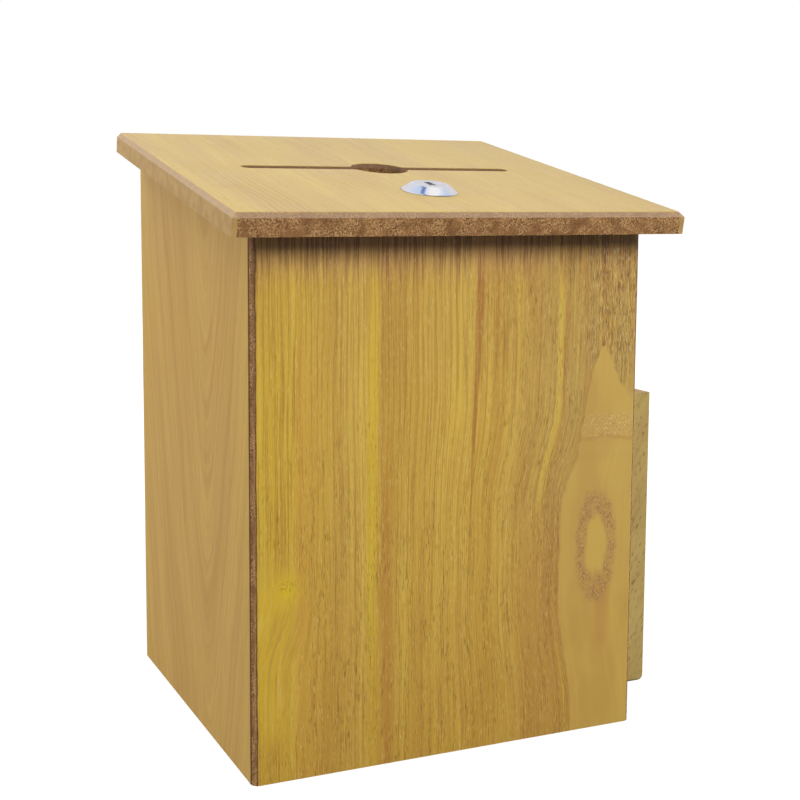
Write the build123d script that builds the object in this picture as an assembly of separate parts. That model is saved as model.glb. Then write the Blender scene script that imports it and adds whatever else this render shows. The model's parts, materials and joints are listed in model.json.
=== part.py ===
from build123d import *
import os
from math import cos, radians, sin, sqrt, tan

# A lockable drop box with a sloping, hinged lid and a card pocket on its right side.
# It stands on z = 0 with its front towards -Y. The origin is the centre of the base.
# Millimetres and degrees.

# Box
box_width = 170.0
box_depth = 167.0
front_height = 211.8
lid_slope = 10.93
wall = 9.0
corner_round = 3.0
bottom_thickness = 6.0

# Lid
lid_thickness = 9.0
lid_side_overhang = 11.25
lid_front_overhang = 13.0
lid_chamfer = 2.0
lid_gap = 0.2
slot_length = 127.0
slot_width = 7.0
slot_setback = 94.0
finger_hole_radius = 12.5

# Card pocket on the right side
pocket_setback = 13.5
pocket_protrusion = 16.0
pocket_foot = 11.2
pocket_height = 129.0
pocket_panel = 5.0
pocket_strip = 6.0
pocket_round = 2.5
pocket_ease = 0.8
pocket_screw_inset = 26.0

# Hinges
hinge_length = 38.0
hinge_spread = 96.0
knuckle_count = 5
knuckle_gap = 0.15
knuckle_radius = 1.9
leaf_thickness = 0.9
leaf_gap = 0.3
leaf_edge_gap = 0.25
pin_radius = 0.8
pin_play = 0.03
pin_behind = 0.3
pin_head_radius = 1.25
pin_head_height = 0.4
leaf_screw_spread = 24.0
seat_gap = 0.25
rear_edge_gap = 1.45

# Cam lock
lock_setback = 42.0
lock_body_radius = 9.5
lock_bore_gap = 0.2
bezel_flange = 2.1
bezel_top_radius = 7.6
bezel_rim = 0.5
bezel_height = 3.2
bezel_ease = 0.3
lock_depth = 20.5
washer_land = 3.0
washer_thickness = 0.8
nut_land = 1.5
nut_thickness = 3.5
nut_play = 0.05
plug_head_radius = 6.2
plug_head_depth = 3.0
plug_radius = 5.4
plug_play = 0.05
plug_recess = 0.1
plug_square = 6.5
keyway_width = 1.6
keyway_length = 7.0
keyway_depth = 15.0
key_funnel = 0.5
wafer_count = 5
wafer_thickness = 1.0
wafer_pitch = 2.4
wafer_width = 4.6
wafer_play = 0.05
wafer_window_play = 0.2
cam_thickness = 2.0
cam_width = 12.0
cam_hub_radius = 7.0
cam_clearance = 0.2
cam_end_gap = 3.0
cam_tip_round = 4.0
square_play = 0.05
cam_washer_radius = 4.6
cam_washer_thickness = 0.6

# Strike that the cam turns under
strike_width = 30.0
strike_thickness = 1.5
strike_reach = 8.0
strike_top_drop = 1.2
strike_clearance = 0.3
strike_bend_round = 0.8
strike_screw_spread = 18.0

# Screws, as head radius, head height, shank radius and length
hinge_screw = (1.8, 1.0, 0.9, 6.5)
strike_screw = (2.4, 1.5, 1.2, 8.0)
pocket_screw = (3.2, 2.4, 1.6, 19.0)
cam_screw = (3.3, 2.0, 1.9, 7.5)
screw_point = 1.6
screw_play = 0.05
recess_share = 0.62
recess_width_share = 0.3

# Values worked out from the sizes above
tilt = radians(lid_slope)
back_rise = box_depth * tan(tilt)
blank_height = front_height + back_rise + wall
half_width = box_width / 2
half_depth = box_depth / 2
slope_normal = (0, -sin(tilt), cos(tilt))
slope = Location(Plane(origin=(0, -half_depth, front_height), x_dir=(1, 0, 0), z_dir=slope_normal))
pocket_length = box_depth - 2 * pocket_setback
lid_top = lid_gap + lid_thickness
pin_height = lid_gap - leaf_thickness - leaf_gap / 2
pin_along = (box_depth + pin_behind + pin_height * sin(tilt)) / cos(tilt)
lid_front = -lid_front_overhang
lid_back = pin_along - knuckle_radius - rear_edge_gap
lock_along = lid_front + lock_setback
slot_along = lid_front + slot_setback
body_end = lid_top - lock_depth
cam_top = body_end - cam_clearance
strike_under = cam_top + strike_clearance
hinge_middles = (-hinge_spread / 2, hinge_spread / 2)
bezel_radius = lock_body_radius + bezel_flange
washer_radius = lock_body_radius + washer_land
nut_across_flats = 2 * (lock_body_radius + nut_land)
wafer_half_length = sqrt(plug_radius ** 2 - (wafer_width / 2) ** 2) - wafer_play

ON_TOP = (Align.CENTER, Align.CENTER, Align.MIN)
BELOW = (Align.CENTER, Align.CENTER, Align.MAX)


def on_slope(shape, across=0.0, along=0.0, height=0.0):
    """A shape placed over the wall tops: across in X, along the slope, height square to it."""
    return slope * Pos(across, along, height) * shape


def slope_along(depth, height):
    """Distance up the slope of the upright line at this depth behind the front, at this height."""
    return (depth + height * sin(tilt)) / cos(tilt)


def slope_z(depth, height):
    """World height of the point at this depth behind the front, this far square to the slope."""
    return front_height + depth * tan(tilt) + height / cos(tilt)


def prism(points, height):
    """A plan outline raised from the floor."""
    return extrude(make_face(Polyline(*points, close=True)), height)


def flat_point_screw(sizes):
    """A countersunk cross-head screw that points down, its head's flat face at z = 0."""
    head_radius, head_height, shank_radius, length = sizes
    body = Pos(0, 0, -head_height) * Cone(shank_radius, head_radius, head_height, align=ON_TOP)
    body += Cylinder(shank_radius, length - screw_point, align=BELOW)
    body += Pos(0, 0, screw_point - length) * Cone(shank_radius / 5, shank_radius, screw_point, align=BELOW)
    return body - cross_recess(head_radius, head_height)


def pan_screw(sizes):
    """A round-topped cross-head screw that points down, its head's seat at z = 0."""
    head_radius, head_height, shank_radius, length = sizes
    head = Cylinder(head_radius, head_height, align=ON_TOP)
    head = fillet(head.edges().sort_by(Axis.Z)[-1], head_height * recess_share)
    body = head + Cylinder(shank_radius, length, align=BELOW)
    return body - Pos(0, 0, head_height) * cross_recess(head_radius, head_height)


def cross_recess(head_radius, head_height):
    """The cross that a driver turns, cut down from z = 0."""
    span = 2 * head_radius * recess_share
    width = head_radius * recess_width_share
    bar = Box(span, width, head_height, align=(Align.CENTER, Align.CENTER, Align.CENTER))
    return bar + Rot(0, 0, 90) * bar


def screw_space(sizes, countersunk=True):
    """The hole that a screw needs, its mouth at z = 0."""
    head_radius, head_height, shank_radius, length = sizes
    hole = Cylinder(shank_radius + screw_play, length + screw_play, align=BELOW)
    if countersunk:
        cone = Cone(shank_radius + screw_play, head_radius + screw_play, head_height, align=BELOW)
        hole += cone
    return hole


def box_walls():
    """Four walls of one folded board, mitred at the corners and cut to the lid's slope."""
    shell = extrude(RectangleRounded(box_width, box_depth, corner_round), blank_height)
    shell -= Box(box_width - 2 * wall, box_depth - 2 * wall, 3 * blank_height)
    shell -= on_slope(Box(3 * box_width, 4 * box_depth, blank_height, align=ON_TOP))
    outer = [(x * half_width, y * half_depth) for x, y in ((-1, -1), (1, -1), (1, 1), (-1, 1))]
    inner = [(x * (1 - wall / half_width), y * (1 - wall / half_depth)) for x, y in outer]
    walls = []
    for side in range(4):
        far = (side + 1) % 4
        walls.append(shell & prism([outer[side], outer[far], inner[far], inner[side]], blank_height))
    front, right, back, left = walls
    for place in strike_screw_places():
        front -= place * screw_space(strike_screw, countersunk=False)
    for place in pocket_screw_places():
        right -= place * screw_space(pocket_screw)
    for middle in hinge_middles:
        back -= hinge_seat(middle)
        for place in leaf_screw_places(middle, upward=False):
            back -= place * screw_space(hinge_screw)
    return front, right, back, left


def bottom_panel():
    """The floor of the box, glued inside the walls and flush with their lower edges."""
    return Box(box_width - 2 * wall, box_depth - 2 * wall, bottom_thickness, align=ON_TOP)


def lid_panel():
    """The lid board, bevelled on its front and side edges, with the slot and its finger hole."""
    width = box_width + 2 * lid_side_overhang
    length = lid_back - lid_front
    board = Box(width, length, lid_thickness, align=(Align.CENTER, Align.MIN, Align.MIN))
    top_edges = board.edges().group_by(Axis.Z)[-1].sort_by(Axis.Y)
    board = chamfer(top_edges[:-1], lid_chamfer)
    through = 3 * lid_thickness
    board -= Pos(0, slot_setback, 0) * extrude(SlotOverall(slot_length, slot_width), through, both=True)
    board -= Pos(0, slot_setback, 0) * Cylinder(finger_hole_radius, through)
    board -= Pos(0, lock_setback, 0) * Cylinder(lock_body_radius + lock_bore_gap, through)
    board = on_slope(board, along=lid_front, height=lid_gap)
    for middle in hinge_middles:
        for place in leaf_screw_places(middle, upward=True):
            board -= place * screw_space(hinge_screw)
    return board


def pocket_parts():
    """The open-topped card pocket: an outer panel mitred to two upright strips, and a bottom strip."""
    tray = Box(pocket_protrusion, pocket_length, pocket_height, align=(Align.MIN, Align.CENTER, Align.MIN))
    outer_face = tray.faces().sort_by(Axis.X)[-1]
    lowest = outer_face.edges().sort_by(Axis.Z)[0]
    tray = fillet(lowest, pocket_round)
    uprights = tray.faces().sort_by(Axis.X)[-1].edges().filter_by(Axis.Z)
    tray = chamfer(uprights, pocket_ease)
    hollow_length = pocket_length - 2 * pocket_strip
    hollow_depth = pocket_protrusion - pocket_panel
    hollow = Box(hollow_depth, hollow_length, pocket_height, align=(Align.MIN, Align.CENTER, Align.MIN))
    bottom = Box(hollow_depth, hollow_length, pocket_strip, align=(Align.MIN, Align.CENTER, Align.MIN))
    tray -= hollow
    half_length = pocket_length / 2
    half_hollow = hollow_length / 2
    mitres = [
        [(pocket_protrusion, -half_length), (pocket_protrusion, half_length),
         (hollow_depth, half_hollow), (hollow_depth, -half_hollow)],
        [(0, -half_length), (pocket_protrusion, -half_length),
         (hollow_depth, -half_hollow), (0, -half_hollow)],
        [(0, half_length), (pocket_protrusion, half_length),
         (hollow_depth, half_hollow), (0, half_hollow)],
    ]
    panel, front, rear = [tray & prism(mitre, pocket_height) for mitre in mitres]
    place = Pos(half_width, 0, pocket_foot)
    front, rear = place * front, place * rear
    for screw_place in pocket_screw_places():
        front -= screw_place * screw_space(pocket_screw)
        rear -= screw_place * screw_space(pocket_screw)
    return place * panel, front, rear, place * bottom


def pocket_screw_places():
    """Four screws driven from inside the box, through its right wall, into the upright strips."""
    inside = half_width - wall
    offset = pocket_length / 2 - pocket_strip / 2
    low = pocket_foot + pocket_screw_inset
    high = pocket_foot + pocket_height - pocket_screw_inset
    return [Pos(inside, y, z) * Rot(0, -90, 0) for y in (-offset, offset) for z in (low, high)]


def knuckle_spans(middle, of_wall_leaf):
    """The start and end across the hinge of each knuckle that belongs to one leaf."""
    pitch = hinge_length / knuckle_count
    left = middle - hinge_length / 2
    first = 0 if of_wall_leaf else 1
    return [(left + i * pitch, left + (i + 1) * pitch) for i in range(first, knuckle_count, 2)]


def across_rod(radius, start, end):
    """A rod along the hinge's pin line."""
    rod = Rot(0, 90, 0) * Cylinder(radius, end - start, align=ON_TOP)
    return on_slope(rod, across=start, along=pin_along, height=pin_height)


def hinge_leaf(middle, of_wall_leaf):
    """One leaf of a butt hinge: a plate with its own knuckles and room for the other's."""
    size = (hinge_length - 2 * knuckle_gap, wall, leaf_thickness)
    bottom = pin_height - leaf_gap / 2 - leaf_thickness if of_wall_leaf else pin_height + leaf_gap / 2
    plate = Box(*size, align=(Align.CENTER, Align.MAX, Align.MIN))
    leaf = on_slope(plate, across=middle, along=pin_along, height=bottom)
    for start, end in knuckle_spans(middle, not of_wall_leaf):
        leaf -= across_rod(knuckle_radius + leaf_edge_gap, start - knuckle_gap, end + knuckle_gap)
    for start, end in knuckle_spans(middle, of_wall_leaf):
        leaf += across_rod(knuckle_radius, start + knuckle_gap, end - knuckle_gap)
    half = hinge_length / 2
    leaf -= across_rod(pin_radius + pin_play, middle - half, middle + half)
    for place in leaf_screw_places(middle, upward=not of_wall_leaf):
        leaf -= place * screw_space(hinge_screw)
    return leaf


def leaf_screw_places(middle, upward):
    """Two screws in a leaf, down into the back wall or up into the lid."""
    along = pin_along - (knuckle_radius + leaf_edge_gap + wall) / 2
    if upward:
        height = pin_height + leaf_gap / 2
        turn = Rot(180, 0, 0)
    else:
        height = pin_height - leaf_gap / 2
        turn = Rot(0, 0, 0)
    sides = (-leaf_screw_spread / 2, leaf_screw_spread / 2)
    return [slope * Pos(middle + side, along, height) * turn for side in sides]


def hinge_pin(middle):
    """The pin through all the knuckles, with a small head at each end."""
    half = hinge_length / 2 - knuckle_gap
    pin = across_rod(pin_radius, middle - half, middle + half)
    pin += across_rod(pin_head_radius, middle - half - pin_head_height, middle - half)
    return pin + across_rod(pin_head_radius, middle + half, middle + half + pin_head_height)


def hinge_seat(middle):
    """The rebate in the back wall's top edge for a closed hinge and its knuckles."""
    half = hinge_length / 2 + pin_head_height + seat_gap
    depth = leaf_thickness - pin_height + leaf_gap / 2
    slot = Box(2 * half, 3 * wall, blank_height, align=ON_TOP)
    seat = on_slope(slot, across=middle, along=pin_along, height=-depth)
    return seat + across_rod(knuckle_radius + seat_gap, middle - half, middle + half)


def lock_body():
    """The lock's barrel with its cone-shaped bezel on top of the lid."""
    body = Cylinder(lock_body_radius, lock_depth, align=BELOW)
    bezel = Cylinder(bezel_radius, bezel_rim, align=ON_TOP)
    cone = Cone(bezel_radius, bezel_top_radius, bezel_height - bezel_rim, align=ON_TOP)
    bezel += Pos(0, 0, bezel_rim) * cone
    bezel = fillet(bezel.edges().sort_by(Axis.Z)[-1], bezel_ease)
    body += bezel
    body -= Cylinder(plug_radius + plug_play, 4 * lock_depth)
    head = Cylinder(plug_head_radius + plug_play, 2 * bezel_height, align=ON_TOP)
    body -= Pos(0, 0, bezel_height - plug_recess - plug_head_depth - plug_play) * head
    return on_slope(body, along=lock_along, height=lid_top)


def lock_washer():
    """The flat washer under the lid."""
    ring = Cylinder(washer_radius, washer_thickness, align=BELOW)
    ring -= Cylinder(lock_body_radius + lock_bore_gap, 3 * washer_thickness)
    return on_slope(ring, along=lock_along, height=lid_gap)


def lock_nut():
    """The thin hexagon nut that clamps the lock to the lid."""
    flats = RegularPolygon(nut_across_flats / 2, 6, major_radius=False)
    nut = extrude(flats, -nut_thickness)
    nut -= Cylinder(lock_body_radius + nut_play, 3 * nut_thickness)
    return on_slope(nut, along=lock_along, height=lid_gap - washer_thickness)


def wafer_heights():
    """Heights of the wafers' middles, square to the slope, from the top one down."""
    first = lid_top + bezel_height - plug_recess - plug_head_depth - wafer_pitch
    return [first - i * wafer_pitch for i in range(wafer_count)]


def lock_plug():
    """The core that the key turns: head, shank with wafer slots, and a square for the cam."""
    top = lid_top + bezel_height - plug_recess
    plug = Pos(0, 0, top) * Cylinder(plug_head_radius, plug_head_depth, align=BELOW)
    plug += Pos(0, 0, top) * Cylinder(plug_radius, top - cam_top, align=BELOW)
    square = Box(plug_square, plug_square, cam_thickness, align=BELOW)
    plug += Pos(0, 0, cam_top) * square
    keyway = Box(keyway_width, keyway_length, keyway_depth, align=BELOW)
    plug -= Pos(0, 0, top) * keyway
    mouth = Box(keyway_width + 2 * key_funnel, keyway_length, key_funnel, align=BELOW)
    plug -= Pos(0, 0, top) * mouth
    slot_size = (wafer_width + 2 * wafer_play, 2 * plug_head_radius, wafer_thickness + 2 * wafer_play)
    for height in wafer_heights():
        plug -= Pos(0, 0, height) * Box(*slot_size)
    tapped = Cylinder(cam_screw[2] + screw_play, cam_screw[3], align=ON_TOP)
    plug -= Pos(0, 0, cam_top - cam_thickness - cam_washer_thickness) * tapped
    return on_slope(plug, along=lock_along)


def lock_wafers():
    """The sprung wafers that the key lines up, drawn with the key in."""
    window_size = (keyway_width + 2 * wafer_window_play, keyway_length + 2 * wafer_window_play)
    wafer = Box(wafer_width, 2 * wafer_half_length, wafer_thickness)
    wafer -= Box(*window_size, 3 * wafer_thickness)
    return [on_slope(wafer, along=lock_along, height=height) for height in wafer_heights()]


def lock_cam():
    """The flat arm that turns under the strike, drawn unlocked, pointing left."""
    reach = lock_along - slope_along(wall, cam_top) - cam_end_gap
    hub = Cylinder(cam_hub_radius, cam_thickness, align=BELOW)
    arm = Box(reach, cam_width, cam_thickness, align=(Align.MAX, Align.CENTER, Align.MAX))
    tip_edges = arm.edges().filter_by(Axis.Z).group_by(Axis.X)[0]
    arm = fillet(tip_edges, cam_tip_round)
    hole = plug_square + 2 * square_play
    cam = hub + arm - Box(hole, hole, 3 * cam_thickness)
    return on_slope(cam, along=lock_along, height=cam_top)


def cam_fixings():
    """The washer and screw that hold the cam on the plug's square."""
    washer = Cylinder(cam_washer_radius, cam_washer_thickness, align=BELOW)
    washer -= Cylinder(cam_screw[2] + screw_play, 3 * cam_washer_thickness)
    seat = cam_top - cam_thickness
    screw = Rot(180, 0, 0) * pan_screw(cam_screw)
    washer = on_slope(washer, along=lock_along, height=seat)
    return washer, on_slope(screw, along=lock_along, height=seat - cam_washer_thickness)


def lock_strike():
    """The angle plate on the front wall: its lower flange runs along the slope over the cam."""
    near, far = wall, wall + strike_reach
    upper = strike_under + strike_thickness
    inner_bend = near + strike_thickness
    points = [
        (near, slope_z(near, strike_under)),
        (far, slope_z(far, strike_under)),
        (far, slope_z(far, upper)),
        (inner_bend, slope_z(inner_bend, upper)),
        (inner_bend, slope_z(near, -strike_top_drop)),
        (near, slope_z(near, -strike_top_drop)),
    ]
    section = Plane.YZ * make_face(Polyline(*[(y - half_depth, z) for y, z in points], close=True))
    strike = extrude(section, strike_width / 2, both=True)
    bends = strike.edges().filter_by(Axis.X).sort_by(Axis.Y)
    inner_edges = [e for e in bends if abs(e.center().Y + half_depth - inner_bend) < screw_play]
    strike = fillet(min(inner_edges, key=lambda e: e.center().Z), strike_bend_round)
    for place in strike_screw_places():
        strike -= place * Pos(0, 0, strike_thickness) * screw_space(strike_screw, countersunk=False)
    return strike


def strike_screw_places():
    """Two screws through the strike's upright leg; local z = 0 is the wall's inner face."""
    upper = slope_z(wall, -strike_top_drop)
    lower = slope_z(wall, strike_under + strike_thickness)
    middle = (upper + lower) / 2
    half = strike_screw_spread / 2
    return [Pos(x, wall - half_depth, middle) * Rot(-90, 0, 0) for x in (-half, half)]


def save(name, *solids):
    """Write one node; identical fasteners share a node as separate solids."""
    shape = solids[0] if len(solids) == 1 else Compound(children=list(solids))
    export_step(shape, "parts/" + name + ".step")


def main():
    os.makedirs("parts", exist_ok=True)
    for name, panel in zip(("front_wall", "right_wall", "back_wall", "left_wall"), box_walls()):
        save(name, panel)
    save("bottom_panel", bottom_panel())
    pocket_names = ("pocket_panel", "pocket_front_strip", "pocket_rear_strip", "pocket_bottom_strip")
    for name, piece in zip(pocket_names, pocket_parts()):
        save(name, piece)
    save("pocket_screws", *[place * flat_point_screw(pocket_screw) for place in pocket_screw_places()])
    for side, middle in zip(("left", "right"), hinge_middles):
        save("hinge_" + side + "_wall_leaf", hinge_leaf(middle, True))
        save("hinge_" + side + "_lid_leaf", hinge_leaf(middle, False))
        save("hinge_" + side + "_pin", hinge_pin(middle))
    for name, upward in (("hinge_wall_screws", False), ("hinge_lid_screws", True)):
        places = [place for middle in hinge_middles for place in leaf_screw_places(middle, upward)]
        save(name, *[place * flat_point_screw(hinge_screw) for place in places])
    save("lid_panel", lid_panel())
    save("lock_body", lock_body())
    save("lock_washer", lock_washer())
    save("lock_nut", lock_nut())
    save("lock_plug", lock_plug())
    save("lock_wafers", *lock_wafers())
    save("lock_cam", lock_cam())
    washer, screw = cam_fixings()
    save("cam_washer", washer)
    save("cam_screw", screw)
    save("lock_strike", lock_strike())
    head_seat = Pos(0, 0, strike_thickness)
    save("strike_screws", *[place * head_seat * pan_screw(strike_screw) for place in strike_screw_places()])


main()
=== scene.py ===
import json
from math import asin, pi, radians, tau

import bmesh
import bpy
from bpy.props import FloatProperty, FloatVectorProperty, IntProperty, PointerProperty
from mathutils import Matrix, Vector


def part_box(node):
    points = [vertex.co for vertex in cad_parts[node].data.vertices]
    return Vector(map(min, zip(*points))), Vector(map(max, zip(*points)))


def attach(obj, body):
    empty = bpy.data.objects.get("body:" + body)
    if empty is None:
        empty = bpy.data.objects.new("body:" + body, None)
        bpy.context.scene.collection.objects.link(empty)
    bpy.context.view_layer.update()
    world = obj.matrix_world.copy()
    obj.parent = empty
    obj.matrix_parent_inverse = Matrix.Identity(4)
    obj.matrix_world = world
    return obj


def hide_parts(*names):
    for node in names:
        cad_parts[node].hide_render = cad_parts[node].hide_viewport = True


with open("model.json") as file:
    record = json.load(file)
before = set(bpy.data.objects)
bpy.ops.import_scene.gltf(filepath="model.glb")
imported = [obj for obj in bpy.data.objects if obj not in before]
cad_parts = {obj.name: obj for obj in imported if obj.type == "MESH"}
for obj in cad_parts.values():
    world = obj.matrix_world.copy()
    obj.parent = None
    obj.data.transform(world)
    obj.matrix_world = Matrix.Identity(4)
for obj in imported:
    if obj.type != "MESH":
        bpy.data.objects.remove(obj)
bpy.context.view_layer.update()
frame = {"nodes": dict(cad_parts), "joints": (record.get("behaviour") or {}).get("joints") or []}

bl_info = {
    "name": "Locking drop box",
    "version": (1, 0, 0),
    "blender": (4, 5, 0),
    "location": "3D View > Sidebar > Drop Box",
    "description": "Builds the boards, pocket, hinges and cam lock of a small wooden drop box",
    "category": "Object",
}

MM = 0.001

# Places and directions, from the frame
joints = {joint["name"]: joint for joint in frame["joints"]}
lid_tilt = asin(-joints["lock_turn"]["axis"][1])
lock_point = Vector(joints["lock_turn"]["pos_m"])
# Lid space: X across, Y up the slope, Z square to it, from the lock's middle on the lid's face
lid_space = Matrix.Translation(lock_point) @ Matrix.Rotation(lid_tilt, 4, "X")
# The outer faces of the walls and the rounding of the upright corners, in millimetres
left_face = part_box("left_wall")[0].x / MM
right_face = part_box("right_wall")[1].x / MM
front_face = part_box("front_wall")[0].y / MM
back_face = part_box("back_wall")[1].y / MM
corner_round = 3.0


# Shader maths

class Socket:
    """A value in a node tree, with the maths that the shaders use."""

    def __init__(self, graph, output):
        self.graph = graph
        self.output = output

    def math(self, operation, *inputs):
        return self.graph.node("ShaderNodeMath", {"operation": operation}, inputs)[0]

    def __add__(self, other):
        return self.math("ADD", self, other)

    def __sub__(self, other):
        return self.math("SUBTRACT", self, other)

    def __rsub__(self, other):
        return self.math("SUBTRACT", other, self)

    def __mul__(self, other):
        return self.math("MULTIPLY", self, other)

    def __truediv__(self, other):
        return self.math("DIVIDE", self, other)

    def __pow__(self, other):
        return self.math("POWER", self, other)

    def __abs__(self):
        return self.math("ABSOLUTE", self)

    __radd__ = __add__
    __rmul__ = __mul__

    def at_least(self, other):
        return self.math("MAXIMUM", self, other)

    def at_most(self, other):
        return self.math("MINIMUM", self, other)

    def sine(self):
        return self.math("SINE", self)

    def step(self, start, end):
        """0 up to the start, 1 from the end on, smooth between them."""
        ends = {"Value": self, "From Min": start, "From Max": end}
        return self.graph.node("ShaderNodeMapRange", {"interpolation_type": "SMOOTHSTEP"}, ends)["Result"]

    def slope(self, start, end, low=0.0):
        """The low value up to the start, 1 from the end on, straight between them."""
        ends = {"Value": self, "From Min": start, "From Max": end, "To Min": low}
        return self.graph.node("ShaderNodeMapRange", None, ends)["Result"]

    def toward(self, share, red, green, blue):
        """This colour, moved by a share towards a display colour."""
        return self.graph.mix(share, self, tone(red, green, blue))

    def band(self, middle, half_width, soft):
        """1 within half_width of the middle, falling to 0 over the soft distance."""
        return 1 - abs(self - middle).step(half_width, half_width + soft)


class Outputs:
    """The outputs of one node, by name or by place."""

    def __init__(self, graph, node):
        self.graph = graph
        self.node = node

    def __getitem__(self, key):
        return Socket(self.graph, self.node.outputs[key])


class Nodes:
    """A node tree. Every node in it comes from the node method."""

    def __init__(self, tree):
        self.tree = tree
        tree.nodes.clear()

    def node(self, kind, settings=None, inputs=None):
        """Adds a node, sets it up, then gives its sockets their values or links."""
        node = self.tree.nodes.new(kind)
        for key, value in (settings or {}).items():
            if key == "stops":
                set_stops(node.color_ramp.elements, value)
            else:
                setattr(node, key, value)
        pairs = inputs.items() if isinstance(inputs, dict) else enumerate(inputs or [])
        for key, value in pairs:
            if isinstance(value, Socket):
                self.tree.links.new(value.output, node.inputs[key])
            else:
                node.inputs[key].default_value = value
        return Outputs(self, node)

    def mix(self, share, first, second):
        """The first colour where the share is 0, the second where it is 1."""
        return self.node("ShaderNodeMix", {"data_type": "RGBA"}, {0: share, 6: first, 7: second})[2]

    def choose(self, share, first, second):
        """The first shader where the share is 0, the second where it is 1."""
        return self.node("ShaderNodeMixShader", None, [share, first, second])["Shader"]


class Graph(Nodes):
    """A material's node tree. x, y and z are the place on the object in millimetres."""

    def __init__(self, name, space=None):
        self.material = bpy.data.materials.new(name)
        self.material.use_nodes = True
        super().__init__(self.material.node_tree)
        to_space = (space or Matrix()).inverted()
        mapping = {"Vector": self.node("ShaderNodeTexCoord")["Object"],
                   "Location": to_space.translation / MM, "Rotation": to_space.to_euler(),
                   "Scale": (1 / MM, 1 / MM, 1 / MM)}
        place = self.node("ShaderNodeMapping", {"vector_type": "POINT"}, mapping)["Vector"]
        split = self.node("ShaderNodeSeparateXYZ", None, [place])
        self.x, self.y, self.z = split["X"], split["Y"], split["Z"]

    def noise(self, x, y, z, detail=2.0, roughness=0.5):
        """Smooth noise of about 0 to 1; each coordinate is in feature lengths."""
        vector = self.node("ShaderNodeCombineXYZ", None, [x, y, z])[0]
        inputs = {"Vector": vector, "Scale": 1.0, "Detail": detail, "Roughness": roughness}
        return self.node("ShaderNodeTexNoise", None, inputs)["Fac"]

    def speckle(self, size, detail=2.0, roughness=0.5):
        """Noise with features of one size in every direction, in millimetres."""
        return self.noise(self.x / size, self.y / size, self.z / size, detail, roughness)

    def oval(self, middle_x, middle_z, half_width, half_height):
        """0 at the middle of an upright oval, 1 on its outline and more outside it."""
        across = (self.x - middle_x) / half_width
        up = (self.z - middle_z) / half_height
        return (across ** 2 + up ** 2) ** 0.5

    def finish(self, colour, roughness, height=None, relief=0.1, **constants):
        """The shader. Colour, roughness and height may vary; the other sockets are set once."""
        inputs = {"Base Color": colour, "Roughness": roughness}
        inputs.update({key.replace("_", " "): value for key, value in constants.items()})
        if height is not None:
            bump = {"Height": height, "Distance": relief * MM, "Strength": 1.0}
            inputs["Normal"] = self.node("ShaderNodeBump", None, bump)["Normal"]
        shader = self.node("ShaderNodeBsdfPrincipled", None, inputs)["BSDF"]
        self.node("ShaderNodeOutputMaterial", None, {"Surface": shader})
        return self.material


def set_stops(elements, stops):
    """Puts a ramp's stops at their places, from (place, colour) pairs."""
    while len(elements) < len(stops):
        elements.new(1.0)
    for element, (place, colour) in zip(elements, stops):
        element.position = place
        element.color = colour


def tone(red, green, blue):
    """A display colour, 0 to 255, as the linear colour that a shader takes."""
    shares = [channel / 255 for channel in (red, green, blue)]
    return (*[s / 12.92 if s <= 0.04045 else ((s + 0.055) / 1.055) ** 2.4 for s in shares], 1.0)


# Finishes

def core_colour(graph):
    """Bare brown fibreboard and the height of its fibres: a mottled ground, pale and dark fibres."""
    mottle = graph.speckle(4, detail=3)
    ground = graph.mix(mottle.step(0.35, 0.65), tone(112, 74, 41), tone(132, 92, 54))
    curl = abs(graph.speckle(1.1, detail=3, roughness=0.6) - 0.5)
    patch = graph.speckle(6).step(0.36, 0.58) * 0.8 + 0.2
    pale = (1 - curl.step(0.012, 0.055)) * patch
    ground = ground.toward(pale * 0.8, 208, 168, 112)
    dark = graph.speckle(0.8).step(0.58, 0.7)
    return ground.toward(dark * 0.5, 88, 54, 32), pale - dark


def pores(graph, across, along, width, length, start):
    """Fine dashes along the grain, 0 to 1."""
    broken = graph.noise(across / width, across / 9, along / length, detail=1)
    return broken.step(start, start + 0.08)


def core_mask(graph):
    """1 in the core of the four walls' boards, 0 in the veneers on their outer and inner faces."""
    past_side = abs(graph.x) - (right_face - corner_round)
    past_back = abs(graph.y) - (back_face - corner_round)
    beyond_side, beyond_back = past_side.at_least(0), past_back.at_least(0)
    round_corner = (beyond_side * beyond_side + beyond_back * beyond_back) ** 0.5
    depth = corner_round - round_corner - past_side.at_least(past_back).at_most(0)
    return depth.step(0.45, 0.6) * (1 - depth.step(8.4, 8.55))


# The marks of the front's veneer: how far across from the middle, and how far up
EYE_X, EYE_Z = 66, 79
PEAK_X, PEAK_TOP = 69, 164
SWIRL_X, SWIRL_Z = -71.5, 75
SHELF_Z = 124.6


def front_grain(graph):
    """The place across the front, bent as the grain is: left round the eye, out under the swirl."""
    x, z = graph.x, graph.z
    sway = graph.noise(x / 45, 0, z / 110) - 0.5
    around_eye = (1 - z.step(98, 142)) * (0.25 + 0.75 * z.step(8, 62)) * x.step(-28, 48)
    under_swirl = (1 - z.step(40, 76)) * (1 - x.step(-76, -54))
    waver = graph.noise(x / 7, 0, z / 26) - 0.5
    return x + sway * 4 + around_eye * 9.5 + under_swirl * 8 + waver * 1.3


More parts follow.
